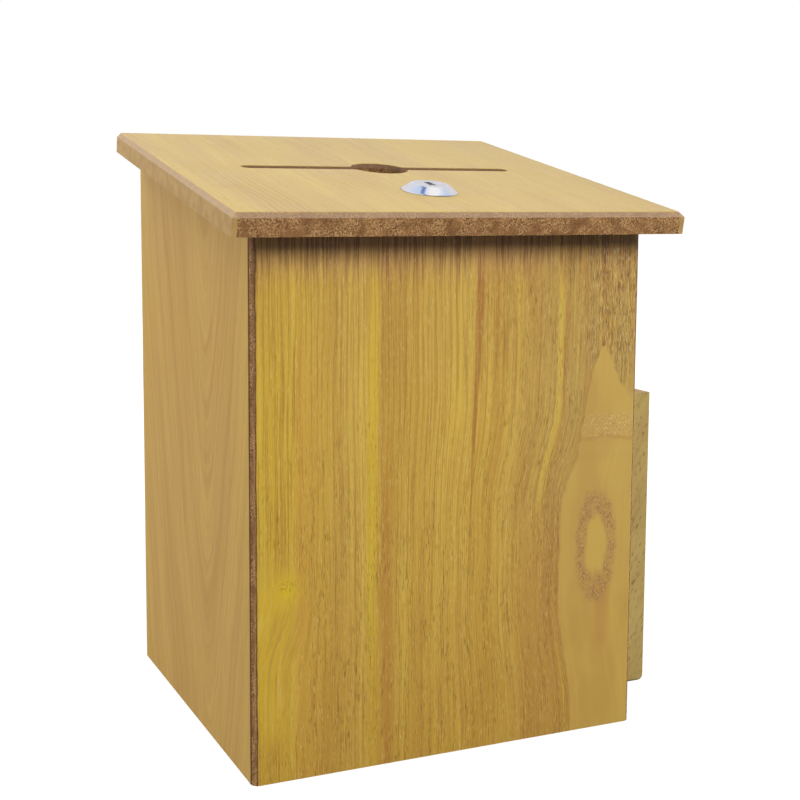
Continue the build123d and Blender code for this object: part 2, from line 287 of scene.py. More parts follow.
def smooth_wood(graph, grain):
    """Masks of the smooth wood under the peak and right of a line round the eye, of the peak alone,
    and of the dark outline."""
    x, z = graph.x, graph.z
    ragged = (graph.noise(x / 2.5, 4, z / 6, detail=4, roughness=0.65) - 0.5) * 4.4
    drop = (PEAK_TOP - z).at_least(0.01)
    past_left = x + ragged - (PEAK_X - drop ** 0.5 * 1.9)
    past_right = x + ragged - (PEAK_X + drop ** 0.5 * 0.9 + drop * drop * 0.016)
    peak = past_left.step(-0.6, 1.2) * (1 - past_right.step(-1.2, 0.6))
    peak = peak * z.step(112, 120) * (1 - z.step(162.5, 163.8))
    margin = grain - z.step(88, 120) * 3.4 + ragged * 0.6
    below_peak = 1 - z.step(114, 122)
    smooth = (margin.step(56.4, 58.6) * below_peak).at_least(peak)
    edge_lower = margin.band(57, 0.15, 0.9) * below_peak
    edge_peak = past_left.band(0, 0.1, 0.8) * z.step(118, 126) * (1 - z.step(160, 163))
    return smooth, peak, (edge_lower * 0.7).at_least(edge_peak)


def front_ground(graph, grain, settings):
    """Broad colour: yellow at the left, browner to the right and at the foot, and darker near the lid,
    partly the veneer's tone and partly painted shade.
    """
    x, z = graph.x, graph.z
    broad = graph.noise(grain / 13, 1.3, z / 300, detail=3)
    ground = graph.mix(broad.step(0.36, 0.64), settings.front_brown, settings.front_yellow)
    left = 1 - x.step(-70, -48)
    ground = ground.toward(left * 0.6, 200, 166, 50)
    middle = x.band(-10, 18, 22) * (1 - z.step(110, 190))
    ground = ground.toward(middle * 0.35, 190, 153, 58)
    right = x.step(12, 54) * (z.step(40, 130) * 0.6 + 0.4)
    ground = ground.toward(right * 0.6, 170, 143, 85)
    foot = 1 - z.step(10, 90)
    ground = ground.toward(foot * 0.35, 176, 134, 52)
    # Painted shade: darker towards the lid, partly the veneer's tone and partly the shade under the lid's
    # overhang.
    return ground.toward(z.step(140, 190) * 0.3, 166, 136, 68)


def front_lines(graph, ground, grain, open_grain):
    """Narrow stripes, most regular at the upper left, and finer lines everywhere."""
    x, z = graph.x, graph.z
    wave = grain * (tau / 2.4) + graph.noise(grain / 7, 0.4, z / 110) * 8
    regular = z.step(40, 170) * (1 - x.step(-5, 25)) * 0.75 + 0.25
    strength = graph.noise(grain / 2.4, 5.1, z / 50, detail=1).step(0.26, 0.56)
    stripe = wave.sine().step(0.45, 0.98) * regular * strength
    ground = ground.toward(stripe * open_grain * 0.47, 152, 110, 44)
    line = graph.noise(grain / 0.55, x / 30, z / 45, detail=1).step(0.55, 0.64)
    ground = ground.toward(line * open_grain * 0.46, 146, 104, 48)
    light = graph.noise(grain / 1.9, 8.8, z / 90).step(0.52, 0.68)
    ground = ground.toward(light * 0.34, 206, 174, 72)
    brown = graph.noise(grain / 3.4, 3.3, z / 150).step(0.55, 0.66)
    return ground.toward(brown * open_grain * 0.3, 168, 120, 56)


def front_streaks(graph, ground, grain):
    """The upright streaks and bands that stand out; the reddish one leans and widens upwards."""
    x, z = graph.x, graph.z
    shaft = x + (graph.noise(0, 2.2, z / 50) - 0.5) * 2.5
    yellow = shaft.band(-36, 0.8, 2.4) * (1 - z.step(150, 195) * 0.5)
    yellow = yellow * (z.step(20, 100) * 0.5 + 0.5)
    ground = ground.toward(yellow * 0.62, 200, 168, 48)
    tan = shaft.band(-63, 2, 5) * (1 - z.step(150, 185))
    ground = ground.toward(tan * 0.4, 184, 134, 62)
    low_band = shaft.band(-29.5, 1, 2.4) * (1 - z.step(95, 150))
    ground = ground.toward(low_band * 0.55, 167, 116, 52)
    lean = 10.5 - (212 - z) * 0.031
    half_width = (z - 82).step(-2, 110) * 1.9 + 0.15
    streak = (1 - (abs(shaft - lean) / half_width).step(0.6, 1.1)) * z.step(80, 92)
    fade = graph.noise(x / 0.8, 6, z / 30).step(0.35, 0.6) * 0.45 + 0.55
    ground = ground.toward(streak * fade * 0.75, 150, 98, 50)
    above = graph.noise(grain / 4, 6, z / 60).step(0.5, 0.6) * z.step(150, 205) * x.step(0, 15)
    ground = ground.toward(above * 0.35, 160, 108, 56)
    thread = (grain + (graph.noise(0, 5, z / 18) - 0.5) * 1.6).band(47, 0.7, 1.3)
    thread = thread * z.step(84, 112) * (0.4 + 0.6 * (1 - z.step(180, 200)))
    ground = ground.toward(thread * 0.5, 204, 173, 70)
    dim = shaft.band(40, 5, 9) * (1 - z.step(60, 130))
    return ground.toward(dim * 0.4, 166, 118, 58)


def front_eye(graph, ground, eye, smooth, outline):
    """The smooth wood, the shelf that its peak stands on, its dark outline, and the eye in it."""
    x, z = graph.x, graph.z
    plain = graph.noise(x / 14, 2, z / 34).step(0.35, 0.65)
    satin = graph.mix(plain, tone(180, 145, 74), tone(189, 156, 80))
    ground = graph.mix(smooth * 0.66, ground, satin)
    dip = (graph.noise(x / 12, 6, 0.5) - 0.5) * 5
    shelf = (z - dip).band(SHELF_Z, 0.2, 1.2) * x.step(55, 61)
    ground = ground.toward(shelf * 0.4, 162, 116, 62)
    ground = ground.toward(outline * 0.42, 152, 110, 58)
    halo = 1 - eye.step(0.9, 1.8)
    ground = ground.toward(halo * 0.45, 178, 140, 78)
    heart = 1 - eye.step(0.48, 0.72)
    ground = ground.toward(heart * 0.7, 191, 160, 78)
    tail = (x - PEAK_X).band(0, 1, 4.5) * z.band(48, 8, 14)
    return ground.toward(tail * 0.45, 170, 122, 66)


def front_swirl(graph, ground, grain, still):
    """The small yellow swirl at the lower left, with lines that fan out below it."""
    x, z = graph.x, graph.z
    swirl = graph.oval(SWIRL_X, SWIRL_Z, 6, 7)
    ground = ground.toward((1 - swirl.step(0.1, 1.7)) * 0.6, 204, 174, 48)
    below = (1 - x.step(-80, -66)) * z.band(45, 22, 14)
    ground = ground.toward(below * 0.5, 202, 168, 48)
    fan = graph.noise(grain / 1.1, x / 9, z / 26, detail=3, roughness=0.6)
    fan_place = still * (1 - z.step(62, 76))
    ground = ground.toward(fan.step(0.5, 0.66) * fan_place * 0.45, 164, 126, 62)
    ground = ground.toward((1 - fan.step(0.34, 0.46)) * fan_place * 0.3, 208, 180, 100)
    ground = ground.toward((1 - swirl.step(0.1, 0.5)) * 0.6, 206, 178, 36)
    brow = 1 - graph.oval(SWIRL_X - 0.3, SWIRL_Z + 1.6, 3.6, 3).step(0.5, 1.1)
    curl = graph.noise(x / 0.9, 1, z / 0.9).step(0.47, 0.6)
    return ground.toward(curl * brow * 0.5, 152, 116, 40)


def front_pores(graph, ground, grain, eye, smooth, peak, still):
    """Fine dashes everywhere, rough in the eye's ring, at the top right and in a patch of flakes.
    Gives the dashes and the rough places too."""
    x, z = graph.x, graph.z
    upper = x.step(56, 64) * z.step(146, 160) * (1 - peak)
    beside = (grain - 57).band(-3.5, 2, 4) * z.band(78, 22, 26)
    flake = x.step(56, 66) * z.band(129.5, 3, 4)
    calm = (1 - smooth * 0.93) * (1 - still * 0.6)
    quiet = 1 - z.step(90, 150) * (1 - x.step(0, 30)) * 0.55
    dash = graph.noise(grain / 0.24, x / 9, z / 4.2, detail=1).step(0.6, 0.67) * calm * quiet
    dash = dash * (graph.noise(grain / 6, 3, z / 24).step(0.36, 0.62) * 0.75 + 0.25)
    ground = ground.toward(dash * 0.62, 114, 73, 34)

    # Painted shade under the lid: a warm brown tint where the lid's shadow falls, and dark streaks, partly
    # grain lines and partly painted shadow, that run down from the lid.
    stain_and_shade = z.step(188, 212) * (0.7 - x.step(20, 60) * 0.45)
    ground = ground.toward(stain_and_shade, 182, 138, 100)
    streak_lines = graph.noise(grain / 0.6, 1.5, z / 45, detail=1).step(0.47, 0.58)
    reach = z + graph.noise(grain / 1.1, 7.5, 0) * 30
    streaks_and_lid_shade = reach.step(203, 220) * (streak_lines * 0.85 + 0.15)
    ground = ground.toward(streaks_and_lid_shade * 0.66, 98, 60, 42)
    pale = graph.noise(grain / 0.24 + 40, x / 9, z / 3.6, detail=1).step(0.62, 0.7) * calm
    ground = ground.toward(pale * 0.34, 226, 198, 128)

    # Rough wood: a frayed ring round the eye, torn fibres, and pale chips among them.
    ring = eye.band(0.93, 0.06, 0.36)
    patchy = graph.noise(x / 3, 5, z / 5).step(0.36, 0.62)
    fray = (ring * (patchy * 0.8 + 0.35)).at_most(1)
    ground = ground.toward(fray * 0.45, 150, 106, 60)
    rough = graph.noise(x / 0.45, 2, z / 1.1).step(0.5, 0.62)
    torn = graph.noise(grain / 0.36, 3, z / 5).step(0.49, 0.6)
    burr = rough * (fray * 0.9 + flake * 0.3) + torn * (upper + beside * 0.5) * (patchy * 0.5 + 0.5)
    burr = burr.at_most(1)
    ground = ground.toward(burr * 0.7, 110, 72, 42)
    chip = graph.noise(x / 0.42 + 9, 7, z, detail=3).step(0.52, 0.64)
    shred = graph.noise(grain / 0.34 + 9, 7, z / 3.4).step(0.54, 0.66)
    glint = chip * (fray * 0.7 + flake * (patchy * 1.1 + 0.35)) + shred * (upper * 0.6 + beside * 0.25)
    return ground.toward(glint.at_most(1) * 0.66, 220, 196, 152), dash, burr


def front_edges(graph, ground):
    """Bare board: the front's own edges, and the corners where the veneer is sanded through.
    Gives the colour, the bare places and the height of their fibres."""
    x, z = graph.x, graph.z
    wobble = (graph.noise(0, 0, z / 14, detail=3) - 0.5) * 1.3
    from_left = x - left_face
    worn_left = 1 - (from_left + wobble).step(1.95, 2.15)
    worn_right = 1 - (right_face - x + wobble * 0.3).step(1.65, 1.85)
    bare = worn_left.at_least(worn_right).at_least(core_mask(graph))
    core, fibres = core_colour(graph)
    # Painted highlight: a pale line down the middle of the rounded corner, where it catches the light.
    painted_corner_highlight = from_left.band(1.2, 0.12, 0.35)
    core = core.toward(painted_corner_highlight * 0.5, 180, 138, 92)
    # Painted shade: the bare board darkens towards the lid, under its overhang.
    core = core.toward(z.step(120, 212) * 0.55, 78, 54, 34)
    brink = (from_left + wobble).band(2, 0.1, 0.3)
    core = core.toward(brink * 0.75, 84, 50, 30)
    fibre = graph.noise(from_left / 0.5, 3, z / 16).step(0.46, 0.58)
    core = core.toward(fibre * (1 - from_left.step(2, 3)) * 0.5, 92, 58, 38)
    return graph.mix(bare, ground, core), bare, fibres


def front_veneer(settings):
    """The bright yellow front: upright grain, a reddish streak, an eye under a pointed peak, open pores."""
    graph = Graph("front_veneer")
    x, z = graph.x, graph.z
    grain = front_grain(graph)
    smooth, peak, outline = smooth_wood(graph, grain)
    eye = graph.oval(EYE_X, EYE_Z, 8.2, 20) + (graph.noise(x / 4, 9, z / 7) - 0.5) * 0.45
    still = (1 - x.step(-72, -60)) * z.band(52, 22, 22)
    ground = front_ground(graph, grain, settings)
    ground = front_lines(graph, ground, grain, 1 - smooth.at_least(still * 0.7))
    ground = front_streaks(graph, ground, grain)
    ground = front_eye(graph, ground, eye, smooth, outline)
    ground = front_swirl(graph, ground, grain, still)
    ground, dash, burr = front_pores(graph, ground, grain, eye, smooth, peak, still)
    colour, bare, fibres = front_edges(graph, ground)
    relief = 0.5 - dash * 0.6 - burr * 0.5 + fibres * bare * 0.4
    roughness = graph.noise(x / 20, 0, z / 40) * 0.12 + dash * 0.2 + bare * 0.12 + 0.36
    return graph.finish(colour, roughness, relief, 0.12, Specular_IOR_Level=0.4)


def side_veneer(name, settings, across_axis, middle, edge_line):
    """Quiet tan veneer whose grain runs in nested arrow shapes; the board's core shows at its edges."""
    graph = Graph(name)
    across = graph.x if across_axis == "x" else graph.y
    z = graph.z
    side = (across - middle + (graph.noise(across / 30, 0.7, z / 60) - 0.5) * 9) / 11
    climb = ((side * side + 1) ** 0.5 - 1) * 44
    arrow = z - climb + (graph.noise(across / 12, 4.1, z / 22) - 0.5) * 9
    broad = graph.noise(arrow / 42, across / 60, 2)
    ground = graph.mix(broad.step(0.36, 0.64), settings.side_tan, settings.side_gold)
    ring = graph.noise(arrow / 8.5, 0.9, across / 90, detail=3)
    ground = ground.toward(ring.step(0.5, 0.68) * 0.48, 166, 127, 68)
    ground = ground.toward((1 - ring.step(0.34, 0.48)) * 0.42, 197, 164, 93)
    fine = graph.noise(across / 1.3, 6.6, z / 55)
    ground = ground.toward(fine.step(0.5, 0.72) * 0.35, 163, 125, 66)
    edge = abs(across).step(60, 82)
    ground = ground.toward(edge * 0.4, 190, 158, 80)
    # Painted shade: darker towards the top, under the lid's overhang.
    ground = ground.toward(z.step(160, 240) * 0.3, 158, 124, 76)
    dash = pores(graph, across + climb * 0.1, z, 0.22, 4.5, 0.61) * 0.3
    ground = ground.toward(dash, 140, 102, 56)
    behind = graph.y - front_face
    bare = core_mask(graph)
    core, fibres = core_colour(graph)
    if edge_line:
        strip = 1 - behind.step(3.1, 3.2)
        bare = bare.at_least(strip)
        seam = behind.band(2.6, 0.5, 0.3)
        ground = ground.toward(seam * 0.85, 70, 44, 28)
        core = core.toward(seam * 0.85, 70, 44, 28)
    colour = graph.mix(bare, ground, core)
    relief = 0.5 - dash + fibres * bare * 0.4
    roughness = graph.noise(across / 25, 1, z / 50) * 0.1 + bare * 0.12 + 0.4
    return graph.finish(colour, roughness, relief, 0.08, Specular_IOR_Level=0.3)


def lid_veneer(settings):
    """The lid: pale veneer with grain from front to back, bare board on its edges and bevels."""
    graph = Graph("lid_veneer", lid_space)
    x, along, height = graph.x, graph.y, graph.z
    sway = graph.noise(x / 40, along / 70, 0.3) - 0.5
    across = x + sway * 9
    broad = graph.noise(across / 17, along / 160, 1, detail=3)
    ground = graph.mix(broad.step(0.34, 0.66), settings.lid_tan, settings.lid_gold)
    fine = graph.noise(across / 1.6, along / 70, 5)
    ground = ground.toward(fine.step(0.5, 0.7) * 0.4, 176, 142, 74)
    light = graph.noise(across / 2.6, along / 90, 9).step(0.54, 0.7)
    ground = ground.toward(light * 0.4, 206, 178, 100)
    lines = across.band(-72, 5, 6) * (1 - along.step(20, 70))
    wave = (across * (tau / 2.6)).sine().step(0.72, 1)
    ground = ground.toward(lines * wave * 0.6, 150, 112, 60)
    dash = pores(graph, across, along, 0.24, 4.5, 0.61) * 0.35
    ground = ground.toward(dash, 140, 104, 56)
    # Painted shade: darker and yellower towards the right, where the lid reflects less light.
    ground = ground.toward(x.step(20, 95) * 0.35, 172, 142, 72)

    core, fibres = core_colour(graph)
    low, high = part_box("lid_panel")
    half_width = (high.x - low.x) / 2 / MM
    at_side = abs(x).step(half_width - 2.05, half_width - 1.95)
    mottle = graph.speckle(6, detail=3).step(0.4, 0.6)
    pale = graph.mix(mottle, tone(164, 130, 78), tone(176, 143, 88))
    core = graph.mix(at_side, core, pale)
    # Painted reflection: the bevels' bare board is greyed towards a pale sheen.
    bevel = height.step(-2.1, -1.95)
    core = core.toward(bevel * 0.55, 156, 133, 108)
    # Painted shade: the bare board inside the slot and finger hole is darkened.
    painted_hole_shade = (1 - abs(x).step(80, 82)) * along.step(4, 6) * (1 - along.step(120, 124))
    core = core.toward(painted_hole_shade * 0.35, 84, 52, 30)
    veneer = height.step(-0.3, -0.2) + (1 - height.step(-8.985, -8.955))
    colour = graph.mix(veneer, core, ground)
    relief = 0.5 - dash + fibres * (1 - veneer) * 0.4
    roughness = graph.noise(x / 30, along / 30, 0) * 0.12 + (1 - veneer) * 0.06 + 0.33
    return graph.finish(colour, roughness, relief, 0.08)


def pocket_veneer(settings):
    """Olive veneer with slanting dark flecks."""
    graph = Graph("pocket_veneer")
    slant = graph.x * 0.35 + graph.y * 0.35 + graph.z * 0.94
    across = graph.x * 0.66 + graph.y * 0.66 - graph.z * 0.35
    broad = graph.noise(across / 14, slant / 60, 0, detail=3)
    ground = graph.mix(broad.step(0.36, 0.64), settings.pocket_olive, settings.pocket_gold)
    fine = graph.noise(across / 1.4, slant / 26, 3)
    ground = ground.toward(fine.step(0.5, 0.7) * 0.45, 140, 116, 66)
    dash = pores(graph, across, slant, 0.45, 3, 0.6) * 0.6
    ground = ground.toward(dash, 108, 82, 44)
    relief = 0.5 - dash
    roughness = graph.noise(across / 25, slant / 40, 1) * 0.12 + 0.4
    return graph.finish(ground, roughness, relief, 0.1, Specular_IOR_Level=0.4)


def fibreboard():
    """Bare fibreboard all over."""
    graph = Graph("fibreboard")
    core, fibres = core_colour(graph)
    roughness = graph.speckle(4) * 0.1 + 0.55
    return graph.finish(core, roughness, fibres, 0.1)


def metal(name, colour, dull, space, scratch=0.08, tarnish=0.25, relief=0.01):
    """Plated or bare metal: fine scratches, a soft stain and slightly uneven gloss."""
    graph = Graph(name, space)
    stain_and_shade = graph.speckle(7, detail=3)
    dark = (*[channel * (1 - tarnish) for channel in colour[:3]], 1)
    ground = graph.mix(stain_and_shade.step(0.35, 0.7), colour, dark)
    fine = graph.noise(graph.x / 0.12, graph.y / 3, graph.z / 0.5)
    ground = graph.mix(fine.step(0.55, 0.75) * 0.25, ground, dark)
    roughness = fine * scratch + stain_and_shade * scratch + dull
    return graph.finish(ground, roughness, fine, relief, Metallic=1)


# Shapes

def welded_copy(node):
    """A CAD part's shape with its loose triangles welded together."""
    shape = bmesh.new()
    shape.from_mesh(frame["nodes"][node].data)
    bmesh.ops.remove_doubles(shape, verts=shape.verts, dist=0.002 * MM)
    return shape


def eased_copy(node, width, spare=None):
    """A CAD part's shape with its sharp edges rounded, as sandpaper or a press tool leaves them."""
    shape = welded_copy(node)
    bmesh.ops.dissolve_limit(shape, angle_limit=radians(0.4), verts=shape.verts, edges=shape.edges)

    def sharp(edge):
        return edge.is_manifold and edge.calc_face_angle() > radians(35.0)

    edges = [edge for edge in shape.edges if sharp(edge) and not (spare and spare(edge))]
    bmesh.ops.bevel(shape, geom=edges, offset=width, offset_type="OFFSET", segments=2,
                    profile=0.5, affect="EDGES", clamp_overlap=True, material=-1)
    return shape


def lathe(profile, steps):
    """A round shape about Z from its half section, as radius and height pairs in millimetres."""
    shape = bmesh.new()
    verts = [shape.verts.new((radius * MM, 0.0, height * MM)) for radius, height in profile]
    edges = [shape.edges.new(pair) for pair in zip(verts, verts[1:])]
    bmesh.ops.spin(shape, geom=verts + edges, cent=(0, 0, 0), axis=(0, 0, 1), angle=tau,
                   steps=steps, use_merge=True)
    bmesh.ops.remove_doubles(shape, verts=shape.verts, dist=0.0005 * MM)
    bmesh.ops.recalc_face_normals(shape, faces=shape.faces)
    return shape


def add_thread(shape, crest, depth, pitch, top, length, steps):
    """Winds a closed ridge round Z, down from the top, to make a screw thread. All in millimetres."""
    root = crest - depth
    buried = root - 0.3 * depth
    corners = [(buried, top), (crest, top - 0.42 * pitch), (crest, top - 0.5 * pitch),
               (buried, top - 0.92 * pitch)]
    section = bmesh.new()
    verts = [section.verts.new((radius * MM, 0.0, height * MM)) for radius, height in corners]
    start = section.faces.new(verts)
    turns = length / pitch - 1
    count = int(turns * steps)
    geom = [start] + list(start.edges) + verts
    bmesh.ops.spin(section, geom=geom, cent=(0, 0, 0), axis=(0, 0, 1), dvec=(0, 0, -pitch * MM / steps),
                   angle=count * tau / steps, steps=count, use_duplicate=False)
    bmesh.ops.recalc_face_normals(section, faces=section.faces)
    join(shape, section)


def join(shape, other):
    """Moves the other shape's faces into this one."""
    mesh = bpy.data.meshes.new("joined")
    other.to_mesh(mesh)
    other.free()
    shape.from_mesh(mesh)
    bpy.data.meshes.remove(mesh)


def finish_piece(name, shape, body, nodes, material, crease=35.0):
    """Makes a shape a piece of a body, in place of its CAD nodes."""
    mesh = bpy.data.meshes.new(name)
    shape.to_mesh(mesh)
    shape.free()
    mesh.materials.append(material)
    mesh.shade_smooth()
    mesh.set_sharp_from_angle(angle=radians(crease))
    piece = bpy.data.objects.new(name, mesh)
    bpy.context.scene.collection.objects.link(piece)
    shading = piece.modifiers.new("even shading", "WEIGHTED_NORMAL")
    shading.keep_sharp = True
    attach(piece, body)
    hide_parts(*nodes)


def solid_tops(node, turn):
    """For each solid of a CAD part, its middle and highest point, as seen in a turned space."""
    shape = welded_copy(node)
    shape.transform(turn.inverted())
    waiting = set(shape.verts)
    tops = []
    while waiting:
        group, rim = set(), [waiting.pop()]
        while rim:
            vert = rim.pop()
            group.add(vert)
            near = {edge.other_vert(vert) for edge in vert.link_edges} & waiting
            waiting -= near
            rim.extend(near)
        lows = [min(vert.co[i] for vert in group) for i in range(3)]
        highs = [max(vert.co[i] for vert in group) for i in range(3)]
        tops.append(Vector(((lows[0] + highs[0]) / 2, (lows[1] + highs[1]) / 2, highs[2])))
    shape.free()
    return sorted(tops, key=lambda top: (round(top.x, 4), round(top.y, 4)))


# Settings

def colour_property(name, description, display_colour):
    return FloatVectorProperty(name=name, description=description, default=tone(*display_colour), size=4,
                               subtype="COLOR", min=0.0, max=1.0)


def length_property(name, description, millimetres):
    return FloatProperty(name=name, description=description, default=millimetres * MM, min=0.0,
                         precision=5, subtype="DISTANCE", unit="LENGTH")


class VeneerSettings(bpy.types.PropertyGroup):
    """Colours of the wood finishes."""
    front_yellow: colour_property("Front yellow", "Light grain of the front", (194, 161, 74))
    front_brown: colour_property("Front brown", "Dark grain of the front", (180, 142, 63))
    side_tan: colour_property("Side tan", "Dark grain of the sides and back", (178, 141, 78))
    side_gold: colour_property("Side gold", "Light grain of the sides and back", (187, 152, 85))
    lid_tan: colour_property("Lid tan", "Dark grain of the lid", (186, 156, 88))
    lid_gold: colour_property("Lid gold", "Light grain of the lid", (194, 166, 88))
    pocket_olive: colour_property("Pocket olive", "Dark grain of the pocket", (164, 140, 84))
    pocket_gold: colour_property("Pocket gold", "Light grain of the pocket", (176, 154, 94))


class BoardSettings(bpy.types.PropertyGroup):
    """Sizes of the boards' eased edges."""
    edge_ease: length_property("Edge ease", "Rounding of the boards' sharp edges", 0.3)
    lid_ease: length_property("Lid ease", "Rounding of the lid's edges", 0.35)
    pocket_ease: length_property("Pocket ease", "Rounding of the pocket's edges", 0.3)


class MetalSettings(bpy.types.PropertyGroup):
    """Sizes of the lock, hinges and plates."""
    barrel_thread: length_property("Barrel thread", "Pitch of the lock barrel's thread", 1.0)
    thread_depth: length_property("Thread depth", "Depth of the lock barrel's thread", 0.45)
    press_ease: length_property("Pressed edge", "Rounding of pressed metal edges", 0.12)
    lathe_steps: IntProperty(name="Lathe steps", description="Sides of a round part", default=96, min=24)


# Operators

def settings_of(context):
    scene = context.scene
    return scene.drop_box_veneer, scene.drop_box_boards, scene.drop_box_metal


class DROPBOX_OT_walls(bpy.types.Operator):
    """Make the four mitred walls and the floor panel"""
    bl_idname = "drop_box.walls"
    bl_label = "Walls and Floor"

    def execute(self, context):
        veneer, boards, _ = settings_of(context)
        walls = (
            ("front_wall", "front_veneer", front_veneer(veneer)),
            ("left_wall", "side_veneer", side_veneer("left_veneer", veneer, "y", -24.5, True)),
            ("right_wall", "side_veneer", side_veneer("right_veneer", veneer, "y", 18.0, False)),
            ("back_wall", "side_veneer", side_veneer("back_veneer", veneer, "x", -20.0, False)),
            ("bottom_panel", "fibreboard", fibreboard()),
        )

        def outer_seam(edge):
            """Whether an edge is in a rounded corner, where two walls meet in one smooth face."""
            reach = corner_round + 0.2
            return all(abs(abs(vert.co.x / MM) - right_face) < reach
                       and abs(abs(vert.co.y / MM) - back_face) < reach for vert in edge.verts)

        for name, slot, material in walls:
            shape = eased_copy(name, boards.edge_ease, outer_seam)
            finish_piece(name + "_board", shape, "cabinet", [name], material)
        return {"FINISHED"}


class DROPBOX_OT_pocket(bpy.types.Operator):
    """Make the card pocket's panel and strips"""
    bl_idname = "drop_box.pocket"
    bl_label = "Card Pocket"

    def execute(self, context):
        veneer, boards, _ = settings_of(context)
        olive = pocket_veneer(veneer)
        face = side_veneer("pocket_face", veneer, "y", 8.0, False)
        for name in ("pocket_panel", "pocket_front_strip", "pocket_rear_strip", "pocket_bottom_strip"):
            panel = name == "pocket_panel"
            slot, material = ("side_veneer", face) if panel else ("pocket_veneer", olive)
            shape = eased_copy(name, boards.pocket_ease)
            finish_piece(name + "_board", shape, "cabinet", [name], material)
        return {"FINISHED"}


class DROPBOX_OT_lid(bpy.types.Operator):
    """Make the lid board with its slot and finger hole"""
    bl_idname = "drop_box.lid"
    bl_label = "Lid Board"

    def execute(self, context):
        veneer, boards, _ = settings_of(context)
        shape = eased_copy("lid_panel", boards.lid_ease)
        finish_piece("lid_board", shape, "lid", ["lid_panel"], lid_veneer(veneer))
        return {"FINISHED"}


class DROPBOX_OT_hinges(bpy.types.Operator):
    """Make the leaves and pins of both hinges"""
    bl_idname = "drop_box.hinges"
    bl_label = "Hinges"

    def execute(self, context):
        _, _, sizes = settings_of(context)
        brass = metal("hinge_brass", tone(220, 186, 112), 0.26, lid_space)
        steel = metal("pin_steel", tone(184, 184, 186), 0.24, None)
        for side in ("left", "right"):
            for body, leaf in (("cabinet", "wall_leaf"), ("lid", "lid_leaf")):
                name = "hinge_" + side + "_" + leaf
                shape = eased_copy(name, sizes.press_ease)
                finish_piece(name + "_pressing", shape, body, [name], brass)
            name = "hinge_" + side + "_pin"
            shape = self.headed_pin(*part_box(name))
            finish_piece(name + "_turned", shape, "cabinet", [name], steel)
        return {"FINISHED"}

    def headed_pin(self, low, high):
        """A pin along X between two corners, with a domed head at each end."""
        shank = 0.8
        half = (high.x - low.x) / 2 / MM
        head = (high.z - low.z) / 2 / MM
        profile = [(0, half), (head * 0.6, half - 0.06), (head * 0.92, half - 0.2), (head, half - 0.34),
                   (head, half - 0.4), (shank, half - 0.42)]
        profile += [(radius, -height) for radius, height in reversed(profile)]
        shape = lathe(profile, 48)
        shape.transform(Matrix.Translation((low + high) / 2) @ Matrix.Rotation(pi / 2, 4, "Y"))
        return shape


class DROPBOX_OT_lock_case(bpy.types.Operator):
    """Make the lock's bezel and threaded barrel, its washer and its nut"""
    bl_idname = "drop_box.lock_case"
    bl_label = "Lock Case"

    def execute(self, context):
        _, _, sizes = settings_of(context)
        chrome = metal("lock_chrome", tone(240, 240, 242), 0.08, lid_space, 0.05, 0.08, 0.002)
        zinc = metal("zinc_plate", tone(196, 198, 202), 0.28, lid_space)
        shape = self.barrel(sizes)
        finish_piece("lock_case", shape, "lid", ["lock_body"], chrome, 22.0)
        for name in ("lock_washer", "lock_nut"):
            shape = eased_copy(name, sizes.press_ease * 2)
            finish_piece(name + "_pressing", shape, "lid", [name], zinc)
        return {"FINISHED"}

    def barrel(self, sizes):
        """The domed bezel, the bore for the plug and the threaded barrel, from the lid's face down."""
        bore, mouth = 5.45, 6.25
        crest, end = 9.5, -20.5
        pitch, depth = sizes.barrel_thread / MM, sizes.thread_depth / MM
        root = crest - depth
        profile = [
            (bore, 0.05), (mouth, 0.05), (mouth, 2.95), (6.35, 3.1), (6.5, 3.17), (6.7, 3.2), (7.2, 3.19),
            (7.65, 3.13), (8.0, 2.99), (8.35, 2.76), (9.4, 2.02), (10.4, 1.3), (11.2, 0.7), (11.45, 0.48),
            (11.57, 0.32), (11.6, 0.12), (11.5, 0.0),
            (crest, 0.0), (crest, -0.8), (root, -1.2), (root, end + 0.9), (root - 0.5, end),
            (bore + 0.15, end), (bore, end + 0.15), (bore, 0.05),
        ]
        shape = lathe(profile, sizes.lathe_steps)
        add_thread(shape, crest, depth, pitch, -1.0, -end - 1.6, 48)
        shape.transform(lid_space)
        return shape


class DROPBOX_OT_lock_core(bpy.types.Operator):
    """Make the lock's plug, wafers, cam and cam washer"""
    bl_idname = "drop_box.lock_core"
    bl_label = "Lock Core"

    def execute(self, context):
        _, _, sizes = settings_of(context)
        chrome = metal("plug_chrome", tone(226, 227, 230), 0.1, lid_space, 0.06, 0.1, 0.003)
        brass = metal("wafer_brass", tone(224, 190, 116), 0.25, lid_space)
        zinc = metal("cam_zinc", tone(190, 192, 196), 0.3, lid_space)
        pieces = (("lock_plug", "plug_chrome", chrome, 0.08), ("lock_wafers", "wafer_brass", brass, 0.06),
                  ("lock_cam", "zinc_plate", zinc, 0.15), ("cam_washer", "zinc_plate", zinc, 0.08))
        for name, slot, material, width in pieces:
            shape = eased_copy(name, width * MM)
            finish_piece(name + "_made", shape, "lock_core", [name], material)
        return {"FINISHED"}


class DROPBOX_OT_strike(bpy.types.Operator):
    """Make the angle plate that the cam turns under"""
    bl_idname = "drop_box.strike"
    bl_label = "Strike"

    def execute(self, context):
        _, _, sizes = settings_of(context)
        zinc = metal("strike_zinc", tone(192, 194, 198), 0.3, lid_space)
        shape = eased_copy("lock_strike", sizes.press_ease)
        finish_piece("lock_strike_pressing", shape, "cabinet", ["lock_strike"], zinc)
        return {"FINISHED"}


def extrude_loop(shape, loop):
    """Extrudes a loop of edges, and gives the new loop and its vertices."""
    new = bmesh.ops.extrude_edge_only(shape, edges=loop)["geom"]
    verts = [part for part in new if isinstance(part, bmesh.types.BMVert)]
    edges = [part for part in new if isinstance(part, bmesh.types.BMEdge)
             and part.verts[0] in verts and part.verts[1] in verts]
    return edges, verts


